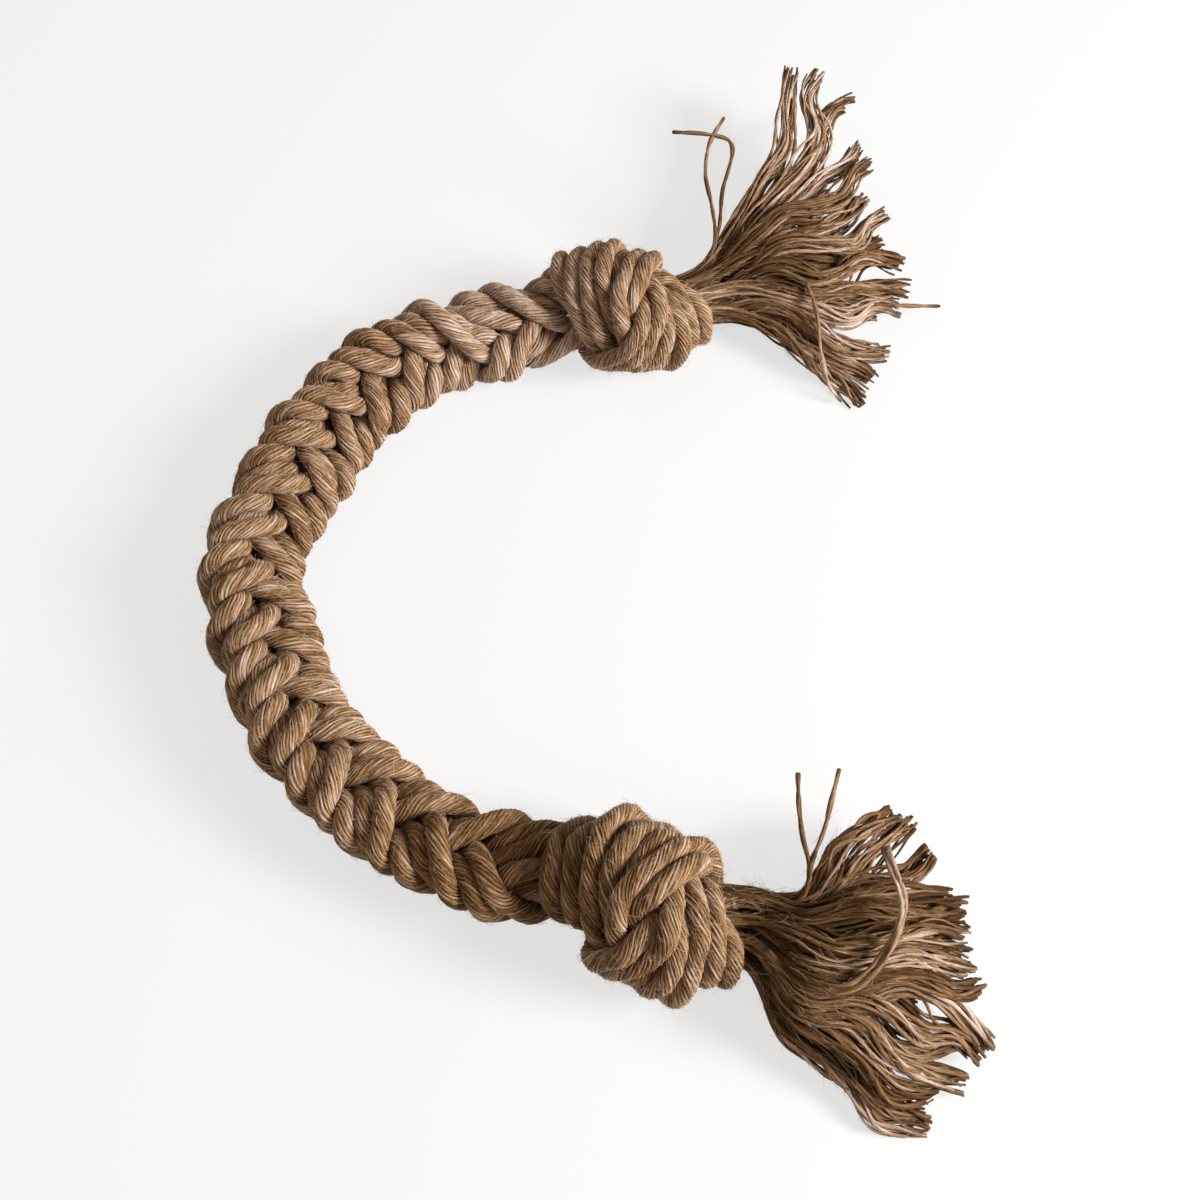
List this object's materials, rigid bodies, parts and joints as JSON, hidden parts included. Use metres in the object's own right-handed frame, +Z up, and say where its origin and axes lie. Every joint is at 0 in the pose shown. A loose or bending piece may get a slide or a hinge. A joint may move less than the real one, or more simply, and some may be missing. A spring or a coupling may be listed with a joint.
{
  "type": "rope dog toy",
  "caption": "Plaited jute rope tug toy lying in a curve, with an overhand knot near each end and frayed yarn tassels.",
  "frame": {"origin": "middle of the toy's box on the surface that it lies on", "axes": "+Z up, +Y from the lower knot towards the upper one as the picture shows them, +X towards the open side of the curve and the tassels"},
  "size_m": [0.2156, 0.3204, 0.0402],
  "materials": {
    "jute_rope": "dry, hairy twisted jute rope",
    "tassel_yarn": "dry, wavy unravelled jute yarn"
  },
  "bodies": {
    "bottom_knot": {"strand_a_rope_1_bottom_knot": "jute_rope", "strand_a_rope_2_bottom_knot": "jute_rope", "strand_a_rope_3_bottom_knot": "jute_rope", "strand_b_rope_1_bottom_knot": "jute_rope", "strand_b_rope_2_bottom_knot": "jute_rope", "strand_b_rope_3_bottom_knot": "jute_rope", "strand_c_rope_1_bottom_knot": "jute_rope", "strand_c_rope_2_bottom_knot": "jute_rope", "strand_c_rope_3_bottom_knot": "jute_rope"},
    "lower_plait": {"strand_a_rope_1_lower_plait": "jute_rope", "strand_a_rope_2_lower_plait": "jute_rope", "strand_a_rope_3_lower_plait": "jute_rope", "strand_b_rope_1_lower_plait": "jute_rope", "strand_b_rope_2_lower_plait": "jute_rope", "strand_b_rope_3_lower_plait": "jute_rope", "strand_c_rope_1_lower_plait": "jute_rope", "strand_c_rope_2_lower_plait": "jute_rope", "strand_c_rope_3_lower_plait": "jute_rope"},
    "middle_plait": {"strand_a_rope_1_middle_plait": "jute_rope", "strand_a_rope_2_middle_plait": "jute_rope", "strand_a_rope_3_middle_plait": "jute_rope", "strand_b_rope_1_middle_plait": "jute_rope", "strand_b_rope_2_middle_plait": "jute_rope", "strand_b_rope_3_middle_plait": "jute_rope", "strand_c_rope_1_middle_plait": "jute_rope", "strand_c_rope_2_middle_plait": "jute_rope", "strand_c_rope_3_middle_plait": "jute_rope"},
    "upper_plait": {"strand_a_rope_1_upper_plait": "jute_rope", "strand_a_rope_2_upper_plait": "jute_rope", "strand_a_rope_3_upper_plait": "jute_rope", "strand_b_rope_1_upper_plait": "jute_rope", "strand_b_rope_2_upper_plait": "jute_rope", "strand_b_rope_3_upper_plait": "jute_rope", "strand_c_rope_1_upper_plait": "jute_rope", "strand_c_rope_2_upper_plait": "jute_rope", "strand_c_rope_3_upper_plait": "jute_rope"},
    "top_knot": {"strand_a_rope_1_top_knot": "jute_rope", "strand_a_rope_2_top_knot": "jute_rope", "strand_a_rope_3_top_knot": "jute_rope", "strand_b_rope_1_top_knot": "jute_rope", "strand_b_rope_2_top_knot": "jute_rope", "strand_b_rope_3_top_knot": "jute_rope", "strand_c_rope_1_top_knot": "jute_rope", "strand_c_rope_2_top_knot": "jute_rope", "strand_c_rope_3_top_knot": "jute_rope"},
    "bottom_tassel": {"bottom_tassel": "tassel_yarn"},
    "top_tassel": {"top_tassel": "tassel_yarn"}
  },
  "joints": [
    {"name": "lower_bend", "type": "hinge", "parent": "middle_plait", "child": "lower_plait", "pos_m": [-0.07761, -0.05594, 0.01238], "axis": [0, 0, -1], "range_deg": [-12, 45]},
    {"name": "upper_bend", "type": "hinge", "parent": "middle_plait", "child": "upper_plait", "pos_m": [-0.08116, 0.02242, 0.01238], "axis": [0, 0, 1], "range_deg": [-12, 45]},
    {"name": "bottom_neck", "type": "hinge", "parent": "lower_plait", "child": "bottom_knot", "pos_m": [-0.023, -0.09744, 0.01541], "axis": [-0.2523, -0.9677, 0], "range_deg": [0, 35]},
    {"name": "top_neck", "type": "hinge", "parent": "upper_plait", "child": "top_knot", "pos_m": [-0.02805, 0.0642, 0.01521], "axis": [0.2168, -0.9762, 0], "range_deg": [0, 35]},
    {"name": "bottom_tassel_swing", "type": "hinge", "parent": "bottom_knot", "child": "bottom_tassel", "pos_m": [0.04029, -0.11345, 0.01593], "axis": [0, 0, 1], "range_deg": [-20, 20]},
    {"name": "top_tassel_swing", "type": "hinge", "parent": "top_knot", "child": "top_tassel", "pos_m": [0.03573, 0.07808, 0.01593], "axis": [0, 0, 1], "range_deg": [-20, 20]}
  ]
}
